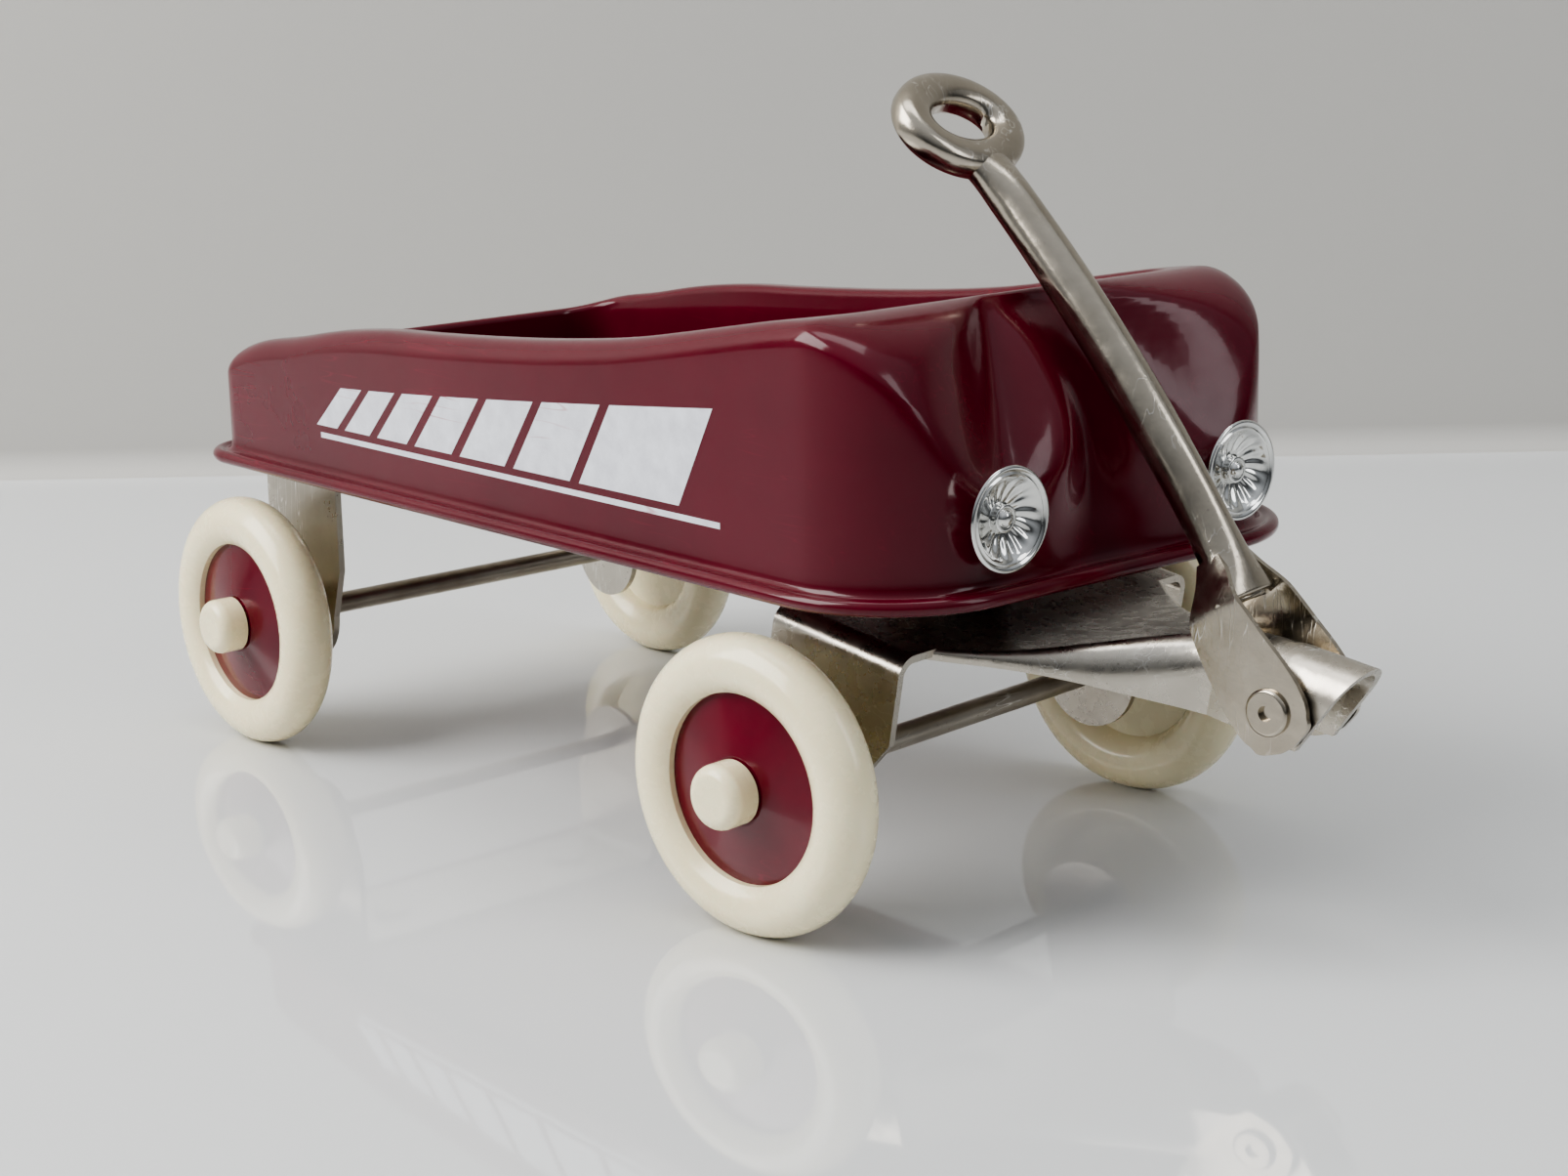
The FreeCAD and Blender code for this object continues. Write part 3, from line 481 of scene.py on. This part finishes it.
def make_bed():
    """One sheet from the flange, over the bead, wall, rim and hood, and down to the floor."""
    rings = []

    def add(side_inset, front_inset, height):
        plan, facing = bed_ring(side_inset, front_inset)
        z = height(plan, facing) if callable(height) else np.full(len(plan), float(height))
        rings.append(np.column_stack([plan, z]))

    def flange_and_bead():
        add(1.2, 1.2, FLANGE_Z + 0.3)
        add(0.2, 0.2, FLANGE_Z + 0.05)
        for angle in np.radians(np.linspace(-90, 135, 13)):
            out = FLANGE - BEAD + BEAD * math.cos(angle)
            add(-out, -out, FLANGE_Z + BEAD + BEAD * math.sin(angle))
        curl = ((1.0, 1.62), (0.62, 1.68), (0.34, 1.86), (0.14, 2.2), (0.03, 2.8), (0.0, WALL_START))
        for out, rise in curl:
            add(-out, -out, FLANGE_Z + rise)

    def wall_height(place):
        def height(plan, facing):
            top = rim_height(plan[:, 0]) - SIDE_ROUND * (1 - 0.8 * facing)
            return low + (top - low) * place
        return height

    def rounded_height(upward):
        def height(plan, facing):
            return rim_height(plan[:, 0]) - SIDE_ROUND * (1 - upward) * (1 - 0.8 * facing)
        return height

    def rim_less(drop):
        return lambda plan, facing: rim_height(plan[:, 0]) - drop

    def inner_wall(place):
        def height(plan, facing):
            return (rim_height(plan[:, 0]) - INNER_ROUND) * (1 - place) + (FLOOR_Z + 0.2) * place
        return height

    flange_and_bead()
    low = FLANGE_Z + WALL_START
    for place in np.linspace(0, 1, 17)[1:]:
        add(0.0, 0.0, wall_height(place))
    for theta in np.radians(np.linspace(0, 90, 17)[1:]):
        inward = 1 - math.cos(theta)
        add(SIDE_ROUND * inward, ROLL * inward, rounded_height(math.sin(theta)))
    for part in (0.5, 1.0):
        add(SIDE_ROUND + (RIM - INNER_ROUND - SIDE_ROUND) * part,
            ROLL + (HOOD - INNER_ROUND - ROLL) * part, rim_less(0.0))
    outer_rings = len(rings)
    for theta in np.radians(np.linspace(0, 90, 6)[1:]):
        inward = INNER_ROUND * math.sin(theta)
        add(RIM - INNER_ROUND + inward, HOOD - INNER_ROUND + inward,
            rim_less(INNER_ROUND * (1 - math.cos(theta))))
    for place in (0.25, 0.5, 0.75, 0.93):
        add(RIM, HOOD, inner_wall(place))
    for inward, height in ((0.12, 1.2), (0.45, 0.45), (1.1, 0.05)):
        add(RIM + inward, HOOD + inward, FLOOR_Z + height)
    shaped = [shape_hood(ring) if index < outer_rings else ring for index, ring in enumerate(rings)]
    return add_piece("bed_body", np.vstack(shaped), grid_faces(len(rings), len(rings[0])), "bed",
                     "body_enamel", "bed_shell", angle=60.0)


make_bed()


def make_side_print(side):
    """A plain graphic of slanted bars that grow towards the front, over a thin line."""
    lift = 0.05
    gap = 2.0
    lean = 7.0
    start, end = 29.5, 121.0
    foot = 51.4
    edges = [27.5, 35.0, 43.5, 53.0, 64.0, 76.5, 91.0, 113.5]
    line_low, line_high, line_end = 49.6, 50.4, 121.4
    points, faces = [], []

    def add(corners):
        """A flat patch from its corners, each a distance along the bed and a height."""
        order = [len(points) + index for index in range(len(corners))]
        faces.append(tuple(order if side < 0 else reversed(order)))
        points.extend((BED_REAR + along, side * (BED_HALF + lift), height) for along, height in corners)

    def top(along):
        return 57.2 + 7.2 * ((along - start) / (end - start)) ** 1.25

    for first, last in zip(edges[:-1], edges[1:]):
        upper = np.linspace(first + gap + lean, last + lean, 7)
        add([(first + gap, foot), (last, foot)] + [(x, top(x)) for x in reversed(upper)])
    add([(start + 1.0, line_low), (line_end, line_low), (line_end, line_high), (start + 1.0, line_high)])
    name = "side_print_left" if side > 0 else "side_print_right"
    add_piece(name, points, faces, "bed", "body_enamel")
    bpy.data.objects[name].data.materials.clear()
    bpy.data.objects[name].data.materials.append(PRINT)


for side in (-1, 1):
    make_side_print(side)


# ----------------------------------------------------------------- headlights

def make_lamp(node):
    """A pressed reflector with a double rim, shallow facets and a bulb-shaped centre."""
    low, high = [np.array(corner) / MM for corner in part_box(node)]
    centre_y = (low[1] + high[1]) / 2
    centre_z = (low[2] + high[2]) / 2
    radius = (high[2] - low[2]) / 2
    face_x = high[0]
    profile = [(0.40, -2.75), (0.62, -1.9), (0.86, -0.95), (0.965, -0.50), (1.0, -0.25), (0.985, -0.06),
               (0.95, 0.0), (0.91, -0.08), (0.875, -0.26), (0.86, -0.22), (0.835, -0.12), (0.805, -0.20),
               (0.76, -0.55), (0.68, -0.95), (0.58, -1.30), (0.47, -1.60), (0.36, -1.80), (0.30, -1.86),
               (0.275, -1.70), (0.27, -1.30), (0.265, -0.95), (0.245, -0.86), (0.20, -0.92), (0.19, -1.10),
               (0.17, -1.05), (0.15, -0.70), (0.12, -0.45), (0.07, -0.33), (0.0, -0.30)]
    count = 96
    points = []
    for share, depth in profile:
        for step in range(count):
            turn = 2 * math.pi * step / count
            facet = 0.0
            if 0.34 < share < 0.80 and depth < -0.3:
                facet = 0.16 * math.cos(16 * turn + 9 * share) * math.sin(math.pi * (share - 0.34) / 0.46)
            points.append((face_x + depth + facet, centre_y + radius * share * math.cos(turn),
                           centre_z + radius * share * math.sin(turn)))
    add_piece(node + "_reflector", points, grid_faces(len(profile), count), "bed", "lamp_plating",
              node, angle=50.0)


for node in ("headlight_left", "headlight_right"):
    make_lamp(node)

# --------------------------------------------------------------------- handle

def to_handle(points):
    """From (out of the smooth face, across, along) at the hinge to the frame of the object."""
    out = np.array([math.sin(LEAN), 0, -math.cos(LEAN)])
    across = np.array([0, 1.0, 0])
    along = np.array([math.cos(LEAN), 0, math.sin(LEAN)])
    flat = points[:, :1] * out + points[:, 2:] * along + points[:, 1:2] * across
    turned = np.column_stack([flat[:, 0] * math.cos(STEER) - flat[:, 1] * math.sin(STEER),
                              flat[:, 0] * math.sin(STEER) + flat[:, 1] * math.cos(STEER), flat[:, 2]])
    return HINGE + turned


def make_shaft():
    """A sheet tube with a seam on the wagon side and a flared, open mouth."""
    end = BEND_START + BEND_RADIUS * BEND_END + GRIP_LAP
    places = np.concatenate([np.linspace(MOUTH, 22, 18), np.linspace(24, end - 8, 24),
                             np.linspace(end - 7, end, 14)])
    half_wide = curve_through([MOUTH, 15.2, 17, 19, 21.5, 40, 66, end - 6, end - 2, end],
                              [5.75, 5.1, 4.1, 3.35, 3.0, 2.95, 2.9, 2.9, 3.5, 4.3], places)
    half_deep = curve_through([MOUTH, 17, 21, 66, end - 5, end], [2.75, 2.95, 3.0, 2.9, 2.8, 2.15], places)
    seam_depth = 0.55
    seam_width = 0.16
    count = 48
    points = []
    for place, wide, deep in zip(places, half_wide, half_deep):
        centre, turn = on_shaft(place)
        out = np.array([math.cos(turn), 0, math.sin(turn)])
        for step in range(count):
            angle = 2 * math.pi * step / count
            seam = math.exp(-((angle - math.pi) / seam_width) ** 2) * float(step_up(place, 18, 26))
            radial = 1 - seam_depth * seam / SHAFT_RADIUS
            points.append(centre + out * (deep * radial * math.cos(angle))
                          + np.array([0, wide * radial * math.sin(angle), 0]))
    shaft = add_piece("handle_shaft", to_handle(np.array(points)), grid_faces(len(places), count),
                      "handle", "handle_steel", "handle", angle=60.0)
    sheet = shaft.modifiers.new("sheet", "SOLIDIFY")
    sheet.thickness = SHAFT_SHEET * MM
    sheet.offset = -1.0 if shaft.data.polygons[0].normal.dot(Vector((1, 0, 0))) > 0 else 1.0


def make_grip():
    """A pressed oval loop: a rounded face, a flatter back, and edges drawn in round the hole."""
    centre, turn = on_shaft(BEND_START + BEND_RADIUS * BEND_END)
    out = np.array([math.cos(turn), 0, math.sin(turn)])
    ahead = np.array([-math.sin(turn), 0, math.cos(turn)])
    centre = centre + ahead * GRIP_CENTRE
    around, section = 80, 28
    middle_wide, middle_long = 7.85, 5.6
    half_wide, half_long = 2.5, 2.55
    face_height, back_height = 2.25, 2.0
    fullness = 0.8
    points = []
    for step in range(around):
        angle = 2 * math.pi * step / around
        wide, long = math.cos(angle), math.sin(angle)
        for part in range(section):
            round_angle = 2 * math.pi * part / section
            spread = math.copysign(abs(math.cos(round_angle)) ** fullness, math.cos(round_angle))
            lift = math.copysign(abs(math.sin(round_angle)) ** fullness, math.sin(round_angle))
            thickness = face_height if lift > 0 else back_height
            points.append(centre + out * (thickness * lift)
                          + np.array([0, (middle_wide + half_wide * spread) * wide, 0])
                          + ahead * ((middle_long + half_long * spread) * long))
    faces = []
    for step in range(around):
        for part in range(section):
            following, beside = (step + 1) % around, (part + 1) % section
            faces.append((step * section + part, following * section + part,
                          following * section + beside, step * section + beside))
    add_piece("handle_grip", to_handle(np.array(points)), faces, "handle", "handle_steel", angle=70.0)


def make_lug(side):
    """A flat lug on one side of the tongue that closes in to the shaft."""
    low_edge = ([-4.9, -4.6, -2.5, 0.5, 6, 9.7, 12.5, 15, 17.5, 19.5],
                [-0.9, -2.2, -4.6, -5.5, -5.6, -5.4, -5.1, -4.3, -3.2, -2.2])
    high_edge = ([-4.9, -4.5, -2.4, 1, 4, 8, 11.8, 15, 17.5, 19.5],
                 [0.9, 2.4, 4.6, 5.3, 5.0, 4.1, 3.3, 2.5, 2.0, 1.5])
    rows = np.concatenate([np.linspace(-4.95, -2.5, 8), np.linspace(-2, 12, 14), np.linspace(12.6, 19.5, 10)])
    lows = curve_through(*low_edge, rows)
    highs = curve_through(*high_edge, rows)
    outer = curve_through([-6, 12, MOUTH, 15.2, 17, 19.5], [5.78, 5.78, 5.7, 5.1, 4.1, 3.15], rows)
    columns = 9
    thickness = 0.75
    points = []
    for layer in (0.0, thickness):
        for row, low, high, wide in zip(rows, lows, highs, outer):
            for column in range(columns):
                out = low + (high - low) * column / (columns - 1)
                closing = float(step_up(row, 12.5, 19.5))
                curl = closing * 0.9 * (abs(out) / 3.6) ** 2
                points.append((out, side * (wide - layer - curl), row))
    size = len(rows) * columns
    front = grid_faces(len(rows), columns, closed=False)
    faces = front + [tuple(size + index for index in reversed(face)) for face in front]
    last = (len(rows) - 1) * columns
    border = (list(range(columns))
              + [row * columns + columns - 1 for row in range(1, len(rows))]
              + [last + column for column in range(columns - 2, -1, -1)]
              + [row * columns for row in range(len(rows) - 2, 0, -1)])
    for index, corner in enumerate(border):
        following = border[(index + 1) % len(border)]
        faces.append((following, corner, size + corner, size + following))
    name = "handle_lug_left" if side > 0 else "handle_lug_right"
    add_piece(name, to_handle(np.array(points)), faces, "handle", "handle_steel", angle=40.0)


make_shaft()
make_grip()
for side in (-1, 1):
    make_lug(side)


# ------------------------------------------------------- floor, light, camera

VIEW_TURN = math.radians(49.27)
VIEW_RISE = math.radians(13.4)
VIEW_ROLL = math.radians(-1.08)
VIEW_PLACE = Vector((286.94, -246.39, 120.55)) * MM
RIGHTWARD = Vector((math.cos(VIEW_TURN), math.sin(VIEW_TURN), 0.0))


def plain(name, color, roughness, specular):
    """A surface of one colour, for the table and the wall."""
    surface = Surface(name, color, 0.0, roughness)
    surface.put("Specular IOR Level", specular)
    return surface.material


def see_through_back(material):
    """Clears the material on its back face, so that a camera behind the wall still sees the wagon."""
    tree = material.node_tree
    output = next(node for node in tree.nodes if node.type == "OUTPUT_MATERIAL")
    front = output.inputs["Surface"].links[0].from_socket
    facing = tree.nodes.new("ShaderNodeNewGeometry").outputs["Backfacing"]
    clear = tree.nodes.new("ShaderNodeBsdfTransparent").outputs["BSDF"]
    mix = tree.nodes.new("ShaderNodeMixShader")
    tree.links.new(facing, mix.inputs[0])
    tree.links.new(front, mix.inputs[1])
    tree.links.new(clear, mix.inputs[2])
    tree.links.new(mix.outputs[0], output.inputs["Surface"])


def sweep_backdrop():
    """A pale table and wall in one sheet, joined by a small cove."""
    away = Vector((-math.sin(VIEW_TURN), math.cos(VIEW_TURN), 0.0))
    reach = 0.255
    near_edge = -1.6
    wall_top = 1.4
    half_wide = 2.0
    cove = 0.006
    profile = [(near_edge, 0.0), (reach - cove, 0.0)]
    for step in range(1, 9):
        turn = math.radians(90.0 * step / 8)
        profile.append((reach - cove + cove * math.sin(turn), cove - cove * math.cos(turn)))
    profile.append((reach, wall_top))
    points = []
    for side in (-half_wide, half_wide):
        for ahead, height in profile:
            points.append(away * ahead + RIGHTWARD * side + Vector((0, 0, height)))
    count = len(profile)
    faces = [(i, count + i, count + i + 1, i + 1) for i in range(count - 1)]
    mesh = bpy.data.meshes.new("backdrop")
    mesh.from_pydata([tuple(point) for point in points], [], faces)
    mesh.materials.append(plain("pale_table", (0.66, 0.67, 0.67), 0.045, 0.85))
    mesh.materials.append(plain("pale_wall", (0.50, 0.49, 0.465), 0.8, 0.2))
    for index, face in enumerate(mesh.polygons):
        face.use_smooth = True
        face.material_index = 0 if index == 0 else 1
    for material in mesh.materials:
        see_through_back(material)
    backdrop = bpy.data.objects.new("backdrop", mesh)
    bpy.context.scene.collection.objects.link(backdrop)


def toward(turn, rise):
    """From the object towards a place that is turned and raised from its -Y side."""
    return Vector((math.sin(turn) * math.cos(rise), -math.cos(turn) * math.cos(rise), math.sin(rise)))


def soft_box(name, azimuth, elevation, distance, size, power, color=(1, 1, 1)):
    """A square area light aimed at the middle of the wagon. Azimuth 0 is on the -Y side."""
    turn = math.radians(azimuth)
    rise = math.radians(elevation)
    back = toward(turn, rise)
    target = Vector((0, 0, 0.04))
    data = bpy.data.lights.new(name, "AREA")
    data.shape = "RECTANGLE"
    data.size, data.size_y = size
    data.energy = power
    data.color = color
    light = bpy.data.objects.new(name, data)
    light.location = target + back * distance
    light.rotation_euler = back.to_track_quat("Z", "Y").to_euler()
    bpy.context.scene.collection.objects.link(light)


sweep_backdrop()
soft_box("window", -28.0, 38.0, 1.1, (0.8, 0.8), 15.0, (1.0, 0.985, 0.96))
soft_box("ceiling", 230.0, 72.0, 1.3, (1.2, 1.2), 12.0)
soft_box("fill", 112.0, 30.0, 1.3, (0.35, 0.8), 2.4, (0.97, 0.98, 1.0))

def studio_air(low_light, overhead_light, leftward_share):
    """A sky that brightens overhead and towards the left, as a room with one large window does."""
    world = bpy.data.worlds.new("studio")
    world.use_nodes = True
    tree = world.node_tree
    direction = tree.nodes.new("ShaderNodeTexCoord").outputs["Generated"]
    split = tree.nodes.new("ShaderNodeSeparateXYZ")
    tree.links.new(direction, split.inputs["Vector"])
    overhead = ramp(tree, split.outputs["Z"], 0.05, 0.9)
    leftward = ramp(tree, split.outputs["X"], 0.5, -0.9)
    share = math_node(tree, "MULTIPLY", leftward, leftward_share)
    glow = math_node(tree, "MULTIPLY", math_node(tree, "ADD", overhead, share), overhead_light)
    strength = math_node(tree, "ADD", glow, low_light)
    tree.links.new(strength, tree.nodes["Background"].inputs["Strength"])
    tree.nodes["Background"].inputs["Color"].default_value = (0.90, 0.94, 1.0, 1.0)
    bpy.context.scene.world = world


studio_air(0.07, 0.62, 0.55)
bpy.context.scene.view_settings.look = "AgX - Medium High Contrast"


def set_camera():
    data = bpy.data.cameras.new("camera")
    data.sensor_width = 36.0
    data.lens = 63.63
    data.clip_start = 0.01
    data.clip_end = 20.0
    camera = bpy.data.objects.new("camera", data)
    bpy.context.scene.collection.objects.link(camera)
    bpy.context.scene.camera = camera
    back = toward(VIEW_TURN, VIEW_RISE)
    up = back.cross(RIGHTWARD)
    turned_right = RIGHTWARD * math.cos(VIEW_ROLL) + up * math.sin(VIEW_ROLL)
    turned_up = up * math.cos(VIEW_ROLL) - RIGHTWARD * math.sin(VIEW_ROLL)
    axes = Matrix((turned_right, turned_up, back)).transposed().to_4x4()
    camera.matrix_world = Matrix.Translation(VIEW_PLACE) @ axes


set_camera()
